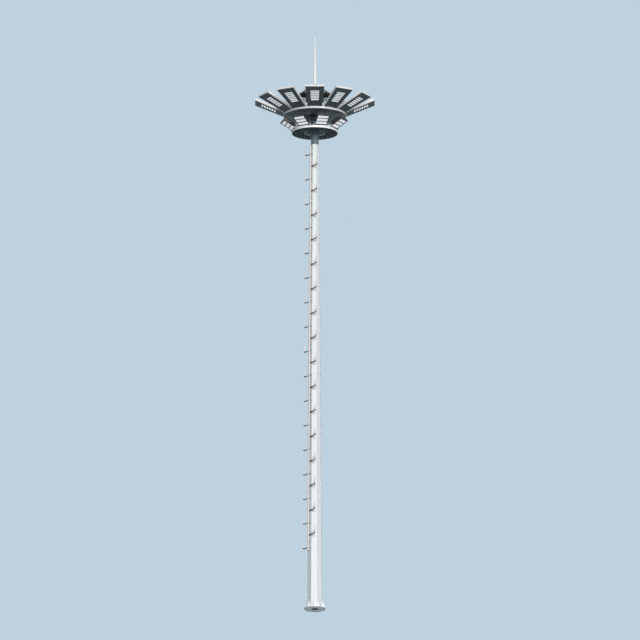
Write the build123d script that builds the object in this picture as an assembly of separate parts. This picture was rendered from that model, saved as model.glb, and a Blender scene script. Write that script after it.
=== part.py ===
"""High mast floodlight tower: an octagonal tapered steel mast with a climbing rail, and a fixed
head of two rings, seven petal luminaires, four aimable floodlights, a hood and a spire. The
luminaires all stand on the front half of the head, which lights one side.

Millimetres, +Z up. The origin is the centre of the base flange's underside. Azimuth is counted
from the front, -Y, towards +X.
"""
from build123d import *
import os
from math import atan, cos, degrees, floor, radians, sin, tan

# ---- Mast shaft: two folded octagonal sections, the upper one slipped over the lower one
shaft_height = 15090.0
shaft_base_width = 450.0        # across flats at the flange
shaft_top_width = 245.0         # across flats at the upper end
shaft_wall = 6.0
shaft_corner_azimuth = 15.5     # one corner of the octagon
facets = 8
splice_height = 7600.0          # where the upper section begins
splice_length = 700.0
splice_play = 0.3               # between the two nested sections

# ---- Base: welded flange with anchor holes at the corners and a gusset on each facet
flange_radius = 335.0
flange_thickness = 28.0
flange_bore_radius = 110.0
anchor_circle_radius = 290.0
anchor_hole_radius = 19.5
gusset_height = 200.0
gusset_thickness = 12.0
gusset_nose_height = 20.0       # the gusset's upright outer end
gusset_edge_margin = 15.0       # from the gusset to the flange's edge

# ---- Service door at the back, low on the mast
door_facet = 2                  # facets are counted from the corner above
door_centre_height = 900.0
door_opening_width = 110.0
door_opening_length = 360.0
door_lap = 14.0                 # the cover plate's overlap round the opening
door_plate_thickness = 5.0
door_corner_radius = 25.0

# ---- Climbing rail with alternate L-shaped pegs
rail_facet = -2
rail_side = 38.0
rail_wall = 4.0
rail_standoff = 32.0            # from the upper section's facet to the rail
rail_start_height = 1860.0
rail_end_gap = 40.0             # from the rail to the shaft's upper end
rail_bracket_width = 60.0
rail_bracket_height = 50.0
rail_bracket_step = 2           # peg pitches from one bracket to the next
peg_radius = 16.0               # to the corners of the six-sided bar
peg_sides = 6
peg_reach = 270.0               # from the rail's side
peg_upturn = 205.0
peg_bend = 20.0                 # the corner between bar and upturn, cut across
peg_pitch = 800.0               # between two pegs on one side
peg_top_margin = 275.0          # from the rail's upper end to its highest peg
peg_foot_margin = 100.0         # least distance from the rail's lower end to a peg

# ---- Head tube, which carries both rings, the hood and the spire
tube_length = 1815.0            # above the shaft's upper end
tube_radius = 122.0
tube_wall = 8.0
tube_plate_thickness = 12.0     # closes the tube's upper end
spigot_length = 300.0           # the part that drops into the shaft
spigot_play = 0.3

# ---- Rings: the lower one carries the floodlights and the upper one the petals
lower_ring_height = 370.0       # its underside above the shaft's upper end
lower_ring_radius = 722.0
lower_ring_thickness = 70.0
upper_ring_height = 920.0
upper_ring_radius = 983.0
upper_ring_thickness = 62.0
ring_hole_radius = 306.0
lower_ring_arms = 4
upper_ring_arms = 6
ring_arm_width = 60.0
ring_arm_height = 50.0
ring_arm_end_gap = 170.0        # from an arm's end to the ring's rim
ring_arm_play = 0.3             # between an arm's end and the tube

# ---- Petals: flat tapered luminaires that flare up and out from the front half of the upper ring
petals = 7
petal_spacing = 30.0            # the middle one faces the front
petal_slope = 23.4
petal_reach = 880.0             # from the ring's rim out to the tip
petal_gap = 60.0                # between two petals at the ring's rim
petal_tip_width = 600.0
petal_thickness = 74.0
petal_heel_length = 75.0        # the stretch that lies over the ring
petal_lamp_length = 504.0
petal_lamp_outer_width = 286.0
petal_lamp_inner_width = 250.0
petal_lamp_end_gap = 201.0      # from the light modules to the petal's tip
petal_lamp_rim = 16.0           # dark rim round the light modules
petal_pocket_depth = 26.0
petal_lamp_plate_thickness = 12.0
petal_modules = 6
module_gap = 16.0
module_relief = 6.0

# ---- Petal arms: a post on the ring behind each petal, two to a petal, and a bar that holds
# the petal from above
petal_arm_width = 50.0
petal_arm_height = 320.0        # above the ring
petal_arm_spacing = 265.0       # between the two arms of one petal
petal_arm_gap = 6.0             # from the post to the petal's inner end
petal_arm_pad_length = 110.0    # the bar's foot on the petal
petal_arm_pad_reach = 260.0     # from the ring's rim to the foot, along the petal

# ---- Floodlights on the lower ring, each on two ear plates with a tilting pivot
floodlights = 4
floodlight_spacing = 45.0       # they stand at four neighbouring corners of the shaft
floodlight_slope = 27.5
face_length = 407.0
face_width = 362.0
face_inset = 33.0               # from the ring's rim to the face's lower edge
face_lift = 33.0                # from the ring's top up to that edge
floodlight_rim = 22.0
floodlight_depth = 86.0
fin_depth = 42.0
fin_thickness = 6.0
fin_count = 11
fin_margin = 70.0               # from the housing's ends to the fins
floodlight_pocket_depth = 14.0
floodlight_lens_thickness = 10.0
floodlight_modules = 3
pivot_along = 40.0              # from the face's lower edge, along the face
pivot_behind = 45.0             # behind the face
pivot_pin_radius = 8.0
pivot_play = 0.08
ear_gap = 6.0                   # between a housing and its ear plate
ear_thickness = 8.0
ear_eye_radius = 20.0
ear_foot_length = 80.0
ear_foot_width = 34.0
ear_edge_margin = 6.0           # from the foot to the ring's rim

# ---- Hood: a folded sheet cone of flat panels over the head, with a collar on the head tube
hood_panels = 24
hood_radius = 590.0             # to the middle of a panel's edge
hood_rise = 436.0               # from the edge to the point where the panels would meet
hood_edge_depth = 244.0         # the edge below the head tube's top
hood_sheet_thickness = 5.0
hood_lip_height = 25.0
hood_collar_depth = 70.0
hood_collar_play = 0.3
hood_seat_width = 16.0          # flange inside the collar, on the head tube's top

# ---- Spire: a tapered tube on a square foot, folded with as many flats as the hood has panels
spire_length = 1705.0
spire_base_radius = 54.0        # to the middle of a flat
spire_tip_radius = 12.0
spire_foot_width = 145.0
spire_foot_thickness = 12.0
spire_play = 2.0                # between the spire and the hood's hole

# ---- Values worked out from those above
facet_turn = 360.0 / facets
nest_step = shaft_wall + splice_play          # how far the upper section's facets stand out
shaft_fall = (shaft_base_width + 2 * nest_step - shaft_top_width) / 2 / shaft_height
shaft_lean = degrees(atan(shaft_fall))
lower_ring_bottom = shaft_height + lower_ring_height
lower_ring_top = lower_ring_bottom + lower_ring_thickness
upper_ring_bottom = shaft_height + upper_ring_height
upper_ring_top = upper_ring_bottom + upper_ring_thickness
rail_end = shaft_height - rail_end_gap
highest_peg = rail_end - peg_top_margin
tube_top = shaft_height + tube_length
petal_length = petal_reach / cos(radians(petal_slope))
petal_root_half = (
    upper_ring_radius * tan(radians(petal_spacing / 2))
    - petal_gap / 2 / cos(radians(petal_spacing / 2))
)
petal_widening = (petal_tip_width / 2 - petal_root_half) / petal_length
hood_edge = tube_top - hood_edge_depth


def to_azimuth(shape, azimuth):
    """Turns a shape modelled at the front to its place round the mast."""
    return Rot(0, 0, azimuth) * shape


def outward(azimuth):
    """Unit vector that points away from the mast at an azimuth."""
    return Vector(sin(radians(azimuth)), -cos(radians(azimuth)), 0)


def facet_azimuth(number):
    """Azimuth of a facet's middle, counted from the named corner."""
    return shaft_corner_azimuth + (number + 0.5) * facet_turn


def lower_flat(height):
    """Distance from the axis to a facet of the lower section."""
    return shaft_base_width / 2 - shaft_fall * height


def revolved(points):
    """Turns a closed outline of (radius, height) points round the mast's axis."""
    return revolve(Plane.XZ * make_face(Polyline(*points, close=True)), Axis.Z)


def tapered_octagon(flat, bottom, top):
    """Solid octagonal frustum with the distance flat from axis to facet at its bottom."""
    outline = RegularPolygon(flat, facets, major_radius=False, rotation=shaft_corner_azimuth)
    return Pos(0, 0, bottom) * extrude(outline, amount=top - bottom, taper=shaft_lean)


def shaft_section(stand_out, bottom, top):
    """Hollow section whose outer facets stand out from the lower section's by stand_out."""
    outer = tapered_octagon(lower_flat(bottom) + stand_out, bottom, top)
    inner = tapered_octagon(lower_flat(bottom) + stand_out - shaft_wall, bottom, top)
    return outer - inner


def facet_plane(azimuth, stand_out):
    """Plane on a facet: X along the facet's width, Y up the facet and Z outwards."""
    out = outward(azimuth)
    lean = radians(shaft_lean)
    normal = out * cos(lean) + Vector(0, 0, sin(lean))
    across = Vector(0, 0, 1).cross(out)
    return Plane(origin=out * (lower_flat(0) + stand_out), x_dir=across, z_dir=normal)


def up_the_facet(height):
    """Distance up a leaning facet that reaches a height."""
    return height / cos(radians(shaft_lean))


def make_shaft():
    lower = shaft_section(0, flange_thickness, splice_height + splice_length)
    upper = shaft_section(nest_step, splice_height, shaft_height)
    opening = RectangleRounded(door_opening_width, door_opening_length, door_corner_radius)
    place = Pos(0, up_the_facet(door_centre_height), -2 * shaft_wall)
    cutter = place * extrude(opening, amount=3 * shaft_wall)
    return lower - facet_plane(facet_azimuth(door_facet), 0) * cutter, upper


def make_service_door():
    outline = RectangleRounded(
        door_opening_width + 2 * door_lap, door_opening_length + 2 * door_lap, door_corner_radius
    )
    plate = Pos(0, up_the_facet(door_centre_height), 0) * extrude(
        outline, amount=door_plate_thickness
    )
    return facet_plane(facet_azimuth(door_facet), 0) * plate


def make_base_flange():
    plate = extrude(Circle(flange_radius) - Circle(flange_bore_radius), amount=flange_thickness)
    for number in range(facets):
        spot = outward(shaft_corner_azimuth + number * facet_turn) * anchor_circle_radius
        plate -= Pos(spot) * Cylinder(anchor_hole_radius, 3 * flange_thickness)
    return plate


def make_gusset(azimuth):
    bottom = flange_thickness
    top = bottom + gusset_height
    nose = flange_radius - gusset_edge_margin
    outline = Polyline(
        (lower_flat(bottom), bottom),
        (nose, bottom),
        (nose, bottom + gusset_nose_height),
        (lower_flat(top) + gusset_nose_height, top),
        (lower_flat(top), top),
        close=True,
    )
    upright = Plane(origin=(0, 0, 0), x_dir=outward(azimuth), z_dir=outward(azimuth - 90))
    return extrude(upright * make_face(outline), amount=gusset_thickness / 2, both=True)


def on_the_rail(shape, height):
    """Puts a shape, modelled round the rail's axis, on the rail at a height."""
    place = Pos(0, up_the_facet(height), rail_standoff + rail_side / 2)
    return facet_plane(facet_azimuth(rail_facet), nest_step) * (place * shape)


def make_rail():
    profile = Rectangle(rail_side, rail_side)
    profile -= Rectangle(rail_side - 2 * rail_wall, rail_side - 2 * rail_wall)
    length = up_the_facet(rail_end) - up_the_facet(rail_start_height)
    return on_the_rail(Rot(-90, 0, 0) * extrude(profile, amount=length), rail_start_height)


def make_rail_brackets():
    """Blocks between rail and shaft, longer on the lower section, whose facets stand further in.

    Each is a quarter of a pitch above a peg, and so clear of the pegs on both sides.
    """
    brackets = []
    step = rail_bracket_step * peg_pitch
    first = highest_peg + peg_pitch / 4
    count = floor((first - rail_start_height - rail_bracket_height) / step) + 1
    for number in range(count):
        height = first - number * step
        on_upper = height - rail_bracket_height > splice_height
        depth = rail_standoff + (0 if on_upper else nest_step * cos(radians(shaft_lean)))
        block = Box(rail_bracket_width, rail_bracket_height, depth)
        brackets.append(on_the_rail(Pos(0, 0, -(rail_side + depth) / 2) * block, height))
    return brackets


def make_peg(side, height):
    """Six-sided bar across the rail's back, which turns up at its end. side is -1 or +1."""
    start = -side * rail_side / 2
    end = side * (rail_side / 2 + peg_reach)
    bend = end - side * peg_bend
    back = -rail_side / 2 - peg_radius * cos(radians(180 / peg_sides))
    path = Polyline((start, 0, back), (bend, 0, back), (end, peg_bend, back), (end, peg_upturn, back))
    across = Plane(origin=(start, 0, back), x_dir=(0, 1, 0), z_dir=(side, 0, 0))
    section = across * RegularPolygon(peg_radius, peg_sides)
    return on_the_rail(sweep(section, path=path, transition=Transition.RIGHT), height)


def make_pegs():
    """Pegs to both sides of the rail, the right ones half a pitch below the left ones."""
    pegs = []
    lowest = rail_start_height + peg_foot_margin
    for side, top in ((-1, highest_peg), (1, highest_peg - peg_pitch / 2)):
        count = floor((top - lowest) / peg_pitch) + 1
        pegs += [make_peg(side, top - number * peg_pitch) for number in range(count)]
    return pegs


def make_head_tube():
    """Tube with a shoulder on the shaft's end and a spigot inside the shaft."""
    spigot = lower_flat(shaft_height) + splice_play - spigot_play
    inner = spigot - tube_wall
    return revolved([
        (inner, shaft_height - spigot_length),
        (spigot, shaft_height - spigot_length),
        (spigot, shaft_height),
        (tube_radius, shaft_height),
        (tube_radius, tube_top),
        (0, tube_top),
        (0, tube_top - tube_plate_thickness),
        (inner, tube_top - tube_plate_thickness),
    ])


def make_ring(bottom, radius, thickness):
    disc = extrude(Circle(radius) - Circle(ring_hole_radius), amount=thickness)
    return Pos(0, 0, bottom) * disc


def make_ring_arms(count, first_azimuth, ring_radius, ring_top):
    """Bars from the head tube over a ring, which hangs from them."""
    reach = ring_radius - ring_arm_end_gap
    bar = Pos(0, -reach / 2, ring_top + ring_arm_height / 2) * Box(
        ring_arm_width, reach, ring_arm_height
    )
    bar -= Pos(0, 0, ring_top) * Cylinder(tube_radius + ring_arm_play, 4 * ring_arm_height)
    return [to_azimuth(bar, first_azimuth + number * 360 / count) for number in range(count)]


def petal_plane():
    """Underside of the front petal: origin over the rim, Y up the slope and Z out of it."""
    slope = radians(petal_slope)
    return Plane(
        origin=(0, -upper_ring_radius, upper_ring_top),
        x_dir=(1, 0, 0),
        z_dir=(0, -sin(slope), -cos(slope)),
    )


def petal_half(along):
    """Half width of a petal at a distance from the rim."""
    return petal_root_half + petal_widening * along


def tapered_outline(inner_along, inner_half, outer_along, outer_half):
    return make_face(Polyline(
        (-inner_half, inner_along),
        (inner_half, inner_along),
        (outer_half, outer_along),
        (-outer_half, outer_along),
        close=True,
    ))


def petal_lamp_outline(grow):
    """Outline of the light modules' area, grown by a margin."""
    outer = petal_length - petal_lamp_end_gap
    return tapered_outline(
        outer - petal_lamp_length - grow, petal_lamp_inner_width / 2 + grow,
        outer + grow, petal_lamp_outer_width / 2 + grow,
    )


def make_petal():
    """Flat tapered body with a pocket for its lamp, cut level where it lies on the ring."""
    body = extrude(
        tapered_outline(
            -petal_heel_length, petal_half(-petal_heel_length), petal_length, petal_tip_width / 2
        ),
        amount=-petal_thickness,
    )
    body -= extrude(petal_lamp_outline(petal_lamp_rim), amount=-petal_pocket_depth)
    below_ring_top = Pos(0, -upper_ring_radius, upper_ring_top - petal_thickness) * Box(
        2 * petal_tip_width, 4 * petal_heel_length, 2 * petal_thickness
    )
    return petal_plane() * body - below_ring_top


def make_petal_lamp():
    """Plate at the bottom of the petal's pocket with a row of raised light modules."""
    plate = Pos(0, 0, -petal_pocket_depth) * extrude(
        petal_lamp_outline(petal_lamp_rim), amount=petal_lamp_plate_thickness
    )
    outer = petal_length - petal_lamp_end_gap
    inner = outer - petal_lamp_length
    pitch = petal_lamp_length / petal_modules
    widening = (petal_lamp_outer_width - petal_lamp_inner_width) / 2 / petal_lamp_length

    def module_half(along):
        return petal_lamp_inner_width / 2 + widening * (along - inner)

    for number in range(petal_modules):
        start = inner + number * pitch + module_gap / 2
        end = start + pitch - module_gap
        module = extrude(
            tapered_outline(start, module_half(start), end, module_half(end)), amount=module_relief
        )
        plate += Pos(0, 0, petal_lamp_plate_thickness - petal_pocket_depth) * module
    return petal_plane() * plate


def make_petal_arms():
    """Two posts behind the front petal, each with a bar out to a foot on the petal's top."""
    plane = petal_plane()

    def on_top(along):
        """Radius and height of a point on the petal's upper face."""
        point = plane.from_local_coords(Vector(0, along, -petal_thickness))
        return -point.Y, point.Z

    post_outer = on_top(-petal_heel_length)[0] - petal_arm_gap
    post_inner = post_outer - petal_arm_width
    top = upper_ring_top + petal_arm_height
    pad_inner = on_top(petal_arm_pad_reach)
    pad_outer = on_top(petal_arm_pad_reach + petal_arm_pad_length)
    outline = Polyline(
        (post_inner, upper_ring_top),
        (post_outer, upper_ring_top),
        (post_outer, top - petal_arm_width),
        pad_inner,
        pad_outer,
        (post_inner, top),
        close=True,
    )
    side_view = Plane(origin=(0, 0, 0), x_dir=(0, -1, 0), z_dir=(-1, 0, 0))
    arm = extrude(side_view * make_face(outline), amount=petal_arm_width / 2, both=True)
    return [Pos(side * petal_arm_spacing / 2, 0, 0) * arm for side in (-1, 1)]


def floodlight_plane():
    """Light face of the front floodlight: Y up the slope and Z out of the face."""
    slope = radians(floodlight_slope)
    return Plane(
        origin=(0, face_inset - lower_ring_radius, lower_ring_top + face_lift),
        x_dir=(1, 0, 0),
        z_dir=(0, -sin(slope), -cos(slope)),
    )


def pivot_point():
    """Pivot of the front floodlight, in the tower's frame."""
    return floodlight_plane().from_local_coords(Vector(0, pivot_along, -pivot_behind))


def make_floodlight_housing():
    """Cast box with a pocket for the lens, cooling fins on its back and a pivot pin each side."""
    length = face_length + 2 * floodlight_rim
    width = face_width + 2 * floodlight_rim
    middle = face_length / 2
    body = Pos(0, middle, -floodlight_depth / 2) * Box(width, length, floodlight_depth)
    body -= Pos(0, middle, 0) * Box(face_width, face_length, 2 * floodlight_pocket_depth)
    pitch = (width - 2 * fin_thickness) / (fin_count - 1)
    for number in range(fin_count):
        across = number * pitch - width / 2 + fin_thickness
        fin = Box(fin_thickness, length - 2 * fin_margin, fin_depth)
        body += Pos(across, middle, -floodlight_depth - fin_depth / 2) * fin
    pin_length = width + 2 * (ear_gap + ear_thickness + pivot_pin_radius)
    pin = Rot(0, 90, 0) * Cylinder(pivot_pin_radius, pin_length)
    body += Pos(0, pivot_along, -pivot_behind) * pin
    return floodlight_plane() * body


def make_floodlight_lens():
    """Plate in the housing's pocket with a row of raised light modules, flush with the rim."""
    middle = face_length / 2
    plate = Pos(0, middle, floodlight_lens_thickness / 2 - floodlight_pocket_depth) * Box(
        face_width, face_length, floodlight_lens_thickness
    )
    pitch = face_length / floodlight_modules
    relief = floodlight_pocket_depth - floodlight_lens_thickness
    for number in range(floodlight_modules):
        module = Box(face_width - 2 * module_gap, pitch - 2 * module_gap, relief)
        plate += Pos(0, (number + 0.5) * pitch, -relief / 2) * module
    return floodlight_plane() * plate


def make_floodlight_ears():
    """Two plates with feet, bolted to the lower ring, that hold the pivot pins."""
    pivot = pivot_point()
    inside = face_width / 2 + floodlight_rim + ear_gap
    rim = ear_edge_margin - lower_ring_radius
    middle = rim + ear_foot_length / 2
    sole = Pos(middle, lower_ring_top + ear_thickness / 2)
    eye = Pos(pivot.Y, pivot.Z)
    profile = make_hull(
        (sole * Rectangle(ear_foot_length, ear_thickness)).edges()
        + (eye * Circle(ear_eye_radius)).edges()
    )
    profile -= eye * Circle(pivot_pin_radius + pivot_play)
    plate = extrude(Plane.YZ * profile, amount=ear_thickness)
    foot = Pos(ear_foot_width / 2, middle, lower_ring_top + ear_thickness / 2) * Box(
        ear_foot_width, ear_foot_length, ear_thickness
    )
    right = Pos(inside, 0, 0) * (plate + foot)
    return [right, right.mirror(Plane.YZ)]


def hood_outline(flat):
    """Polygon with as many sides as the hood, at a distance from the axis."""
    return RegularPolygon(flat, hood_panels, major_radius=False)


def hood_pyramid(lowered):
    """Solid many-sided pyramid, cut off above the spire's hole, lowered by a distance."""
    height = hood_rise * (1 - spire_tip_radius / hood_radius)
    taper = degrees(atan(hood_radius / hood_rise))
    return Pos(0, 0, hood_edge - lowered) * extrude(
        hood_outline(hood_radius), amount=height, taper=taper
    )


def make_hood():
    outside = hood_pyramid(0)
    lip = hood_outline(hood_radius) - hood_outline(hood_radius - hood_sheet_thickness)
    lip_bottom = hood_edge - hood_lip_height
    collar_inner = tube_radius + hood_collar_play
    collar_outer = hood_outline(collar_inner + hood_sheet_thickness)
    collar_bottom = tube_top - hood_collar_depth
    collar = collar_outer - hood_outline(collar_inner)
    seat = collar_outer - hood_outline(tube_radius - hood_seat_width)
    hood = outside - hood_pyramid(hood_sheet_thickness)
    hood += Pos(0, 0, lip_bottom) * extrude(lip, amount=hood_lip_height)
    hood += Pos(0, 0, collar_bottom) * extrude(collar, amount=hood_rise) & outside
    hood += Pos(0, 0, tube_top) * extrude(seat, amount=hood_sheet_thickness)
    spire_hole = hood_outline(spire_radius(tube_top) + spire_play)
    return hood - Pos(0, 0, tube_top) * extrude(spire_hole, amount=hood_rise)


def spire_radius(height):
    """Radius of the spire's cone at a height."""
    share = (height - tube_top) / spire_length
    return spire_base_radius + share * (spire_tip_radius - spire_base_radius)


def make_spire():
    foot = Box(spire_foot_width, spire_foot_width, spire_foot_thickness)
    taper = degrees(atan((spire_base_radius - spire_tip_radius) / spire_length))
    tube = extrude(hood_outline(spire_base_radius), amount=spire_length, taper=taper)
    return Pos(0, 0, tube_top) * (Pos(0, 0, spire_foot_thickness / 2) * foot + tube)


def save(node, *shapes):
    """Writes one node's STEP file from one solid or several that don't touch."""
    solids = [solid for shape in shapes for solid in shape.solids()]
    whole = solids[0] if len(solids) == 1 else Compound(solids)
    export_step(whole, f"parts/{node}.step")


os.makedirs("parts", exist_ok=True)

lower_section, upper_section = make_shaft()
save("base_flange", make_base_flange())
save("base_gussets", *[make_gusset(facet_azimuth(number)) for number in range(facets)])
save("shaft_lower", lower_section)
save("shaft_upper", upper_section)
save("service_door", make_service_door())
save("ladder_rail", make_rail())
save("ladder_brackets", *make_rail_brackets())
save("ladder_pegs", *make_pegs())

save("head_tube", make_head_tube())
save("lower_ring", make_ring(lower_ring_bottom, lower_ring_radius, lower_ring_thickness))
save("upper_ring", make_ring(upper_ring_bottom, upper_ring_radius, upper_ring_thickness))
floodlight_azimuths = [
    shaft_corner_azimuth + (number - floodlights / 2) * floodlight_spacing
    for number in range(floodlights)
]
between_floodlights = floodlight_azimuths[0] + floodlight_spacing / 2
save("lower_ring_arms", *make_ring_arms(
    lower_ring_arms, between_floodlights, lower_ring_radius, lower_ring_top
))
save("upper_ring_arms", *make_ring_arms(
    upper_ring_arms, petal_spacing / 2, upper_ring_radius, upper_ring_top
))
save("hood", make_hood())
save("spire", make_spire())

petal = make_petal()
petal_lamp = make_petal_lamp()
petal_arms = make_petal_arms()
petal_azimuths = [(number - (petals - 1) / 2) * petal_spacing for number in range(petals)]
for number, azimuth in enumerate(petal_azimuths, start=1):
    save(f"petal_{number}", to_azimuth(petal, azimuth))
save("petal_lamps", *[to_azimuth(petal_lamp, azimuth) for azimuth in petal_azimuths])
save("petal_arms", *[to_azimuth(arm, azimuth) for azimuth in petal_azimuths for arm in petal_arms])

housing = make_floodlight_housing()
lens = make_floodlight_lens()
ears = make_floodlight_ears()
for number, azimuth in enumerate(floodlight_azimuths, start=1):
    save(f"floodlight_housing_{number}", to_azimuth(housing, azimuth))
    save(f"floodlight_lens_{number}", to_azimuth(lens, azimuth))
save("floodlight_ears", *[to_azimuth(ear, azimuth) for azimuth in floodlight_azimuths for ear in ears])
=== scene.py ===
"""High mast floodlight tower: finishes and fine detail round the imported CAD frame, in metres."""
import math

import bmesh
import bpy
from mathutils import Matrix, Vector


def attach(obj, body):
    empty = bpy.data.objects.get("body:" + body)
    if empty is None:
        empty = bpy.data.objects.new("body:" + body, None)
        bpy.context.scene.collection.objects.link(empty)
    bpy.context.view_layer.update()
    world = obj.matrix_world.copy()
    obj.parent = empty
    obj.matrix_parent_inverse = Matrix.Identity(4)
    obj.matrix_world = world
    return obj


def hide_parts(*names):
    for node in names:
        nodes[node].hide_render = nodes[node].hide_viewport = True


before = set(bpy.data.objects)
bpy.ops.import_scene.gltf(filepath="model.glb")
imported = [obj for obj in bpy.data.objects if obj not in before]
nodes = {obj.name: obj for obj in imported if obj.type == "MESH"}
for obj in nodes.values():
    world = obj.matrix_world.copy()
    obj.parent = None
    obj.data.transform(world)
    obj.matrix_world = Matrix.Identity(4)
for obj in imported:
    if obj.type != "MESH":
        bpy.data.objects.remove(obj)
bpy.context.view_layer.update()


# ---- View, light and floor ---------------------------------------------------------------------
# The tower is looked up at from the front through a flat, parallel lens. One broad key lamp
# comes from the front, a little to the right, and the studio's walls give a soft, even fill.
view_width = 19.97
view_rise = math.radians(16.26)
view_centre = Vector((0.161, 0.0, 9.40))
view_distance = 30.0

camera = bpy.data.objects.new("camera", bpy.data.cameras.new("camera"))
bpy.context.scene.collection.objects.link(camera)
camera.data.type = "ORTHO"
camera.data.ortho_scale = view_width
camera.data.clip_end = 400.0
towards_camera = Vector((0, -math.cos(view_rise), -math.sin(view_rise)))
camera.location = view_centre + towards_camera * view_distance
camera.rotation_euler = (math.pi / 2 + view_rise, 0, 0)
bpy.context.scene.camera = camera
bpy.context.scene.view_settings.view_transform = "Standard"


def add_sun(name, azimuth, height, strength, softness, colour):
    """A lamp far away, at an azimuth counted from the front towards +X and a height in degrees."""
    lamp = bpy.data.objects.new(name, bpy.data.lights.new(name, "SUN"))
    bpy.context.scene.collection.objects.link(lamp)
    lamp.data.energy = strength
    lamp.data.angle = math.radians(softness)
    lamp.data.color = colour
    lamp.rotation_euler = (math.radians(90 - height), 0, math.radians(azimuth))


add_sun("key_lamp", azimuth=13, height=19, strength=2.95, softness=34, colour=(1.0, 0.985, 0.965))
add_sun("back_lamp", azimuth=170, height=24, strength=0.55, softness=40, colour=(0.90, 0.95, 1.0))


def maths(tree, operation, first, second=None, third=None, clamp=False):
    """A Math node fed by sockets or numbers; gives its output."""
    node = tree.nodes.new("ShaderNodeMath")
    node.operation = operation
    node.use_clamp = clamp
    for socket, value in enumerate((first, second, third)):
        if isinstance(value, (int, float)):
            node.inputs[socket].default_value = value
        elif value is not None:
            tree.links.new(value, node.inputs[socket])
    return node.outputs[0]


def light_studio(backdrop_colour):
    """Studio light, stronger from below and above than from the sides, before a plain backdrop.

    The backdrop is what the camera sees, and what metal and glass show."""
    world = bpy.data.worlds.new("studio")
    bpy.context.scene.world = world
    world.use_nodes = True
    tree = world.node_tree
    tree.nodes.clear()
    out = tree.nodes.new("ShaderNodeOutputWorld")
    where = tree.nodes.new("ShaderNodeTexCoord")
    split = tree.nodes.new("ShaderNodeSeparateXYZ")
    tree.links.new(where.outputs["Generated"], split.inputs[0])
    height = tree.nodes.new("ShaderNodeMapRange")
    height.inputs["From Min"].default_value = -1
    tree.links.new(split.outputs[2], height.inputs["Value"])
    glow = tree.nodes.new("ShaderNodeValToRGB")
    glow.color_ramp.interpolation = "B_SPLINE"
    up_from_below = ((0.0, 0.50), (0.28, 0.20), (0.5, 0.05), (0.72, 0.12), (1.0, 0.36))
    while len(glow.color_ramp.elements) < len(up_from_below):
        glow.color_ramp.elements.new(0.5)
    for element, (position, level) in zip(glow.color_ramp.elements, up_from_below):
        element.position = position
        element.color = (level * 0.84, level * 0.94, level, 1)
    tree.links.new(height.outputs[0], glow.inputs[0])
    light = tree.nodes.new("ShaderNodeBackground")
    tree.links.new(glow.outputs[0], light.inputs["Color"])
    backdrop = tree.nodes.new("ShaderNodeBackground")
    backdrop.inputs["Color"].default_value = backdrop_colour
    path = tree.nodes.new("ShaderNodeLightPath")
    seen = path.outputs["Is Camera Ray"]
    for ray in ("Is Glossy Ray", "Is Transmission Ray"):
        seen = maths(tree, "MAXIMUM", seen, path.outputs[ray])
    choose = tree.nodes.new("ShaderNodeMixShader")
    tree.links.new(seen, choose.inputs[0])
    tree.links.new(light.outputs[0], choose.inputs[1])
    tree.links.new(backdrop.outputs[0], choose.inputs[2])
    tree.links.new(choose.outputs[0], out.inputs["Surface"])


light_studio(backdrop_colour=(0.52, 0.64, 0.74, 1))


def lay_floor(radius, opening, colour):
    """A pale disc at ground level, open under the foot, faded at its edge and clear from below."""
    mesh = bpy.data.meshes.new("floor")
    shape = bmesh.new()
    bmesh.ops.create_circle(shape, cap_ends=True, segments=96, radius=radius)
    shape.to_mesh(mesh)
    shape.free()
    floor = bpy.data.objects.new("floor", mesh)
    bpy.context.scene.collection.objects.link(floor)
    material = bpy.data.materials.new("floor")
    material.use_nodes = True
    tree = material.node_tree
    tree.nodes.clear()
    out = tree.nodes.new("ShaderNodeOutputMaterial")
    matt = tree.nodes.new("ShaderNodeBsdfDiffuse")
    matt.inputs["Color"].default_value = colour
    clear = tree.nodes.new("ShaderNodeBsdfTransparent")
    where = tree.nodes.new("ShaderNodeTexCoord")
    reach = tree.nodes.new("ShaderNodeVectorMath")
    reach.operation = "LENGTH"
    tree.links.new(where.outputs["Object"], reach.inputs[0])
    fade = tree.nodes.new("ShaderNodeMapRange")
    fade.interpolation_type = "SMOOTHSTEP"
    fade.inputs["From Min"].default_value = radius * 0.45
    fade.inputs["From Max"].default_value = radius * 0.98
    tree.links.new(reach.outputs["Value"], fade.inputs["Value"])
    side = tree.nodes.new("ShaderNodeNewGeometry")
    under_foot = maths(tree, "LESS_THAN", reach.outputs["Value"], opening)
    gone = maths(tree, "MAXIMUM", fade.outputs[0], side.outputs["Backfacing"])
    gone = maths(tree, "MAXIMUM", gone, under_foot)
    choose = tree.nodes.new("ShaderNodeMixShader")
    tree.links.new(gone, choose.inputs[0])
    tree.links.new(matt.outputs[0], choose.inputs[1])
    tree.links.new(clear.outputs[0], choose.inputs[2])
    tree.links.new(choose.outputs[0], out.inputs["Surface"])
    floor.data.materials.append(material)


lay_floor(radius=11.0, opening=0.33, colour=(0.62, 0.66, 0.69, 1))


# ---- Mast shaft --------------------------------------------------------------------------------
# Two folded octagonal sections of galvanised plate under white polyester powder coat. The folds
# are slightly round, and each section is closed by one long seam weld at the back.
mast_white = (0.71, 0.73, 0.74)
shaft_foot_flat = 0.225
shaft_lean = 0.436
upper_stand_out = 0.0063
seam_azimuth = 173.0
seam_runs = ((0.0, 0.30, 7.595), (upper_stand_out, 7.605, 15.085))
bead_width, bead_height, bead_step = 0.010, 0.0022, 0.045


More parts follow.
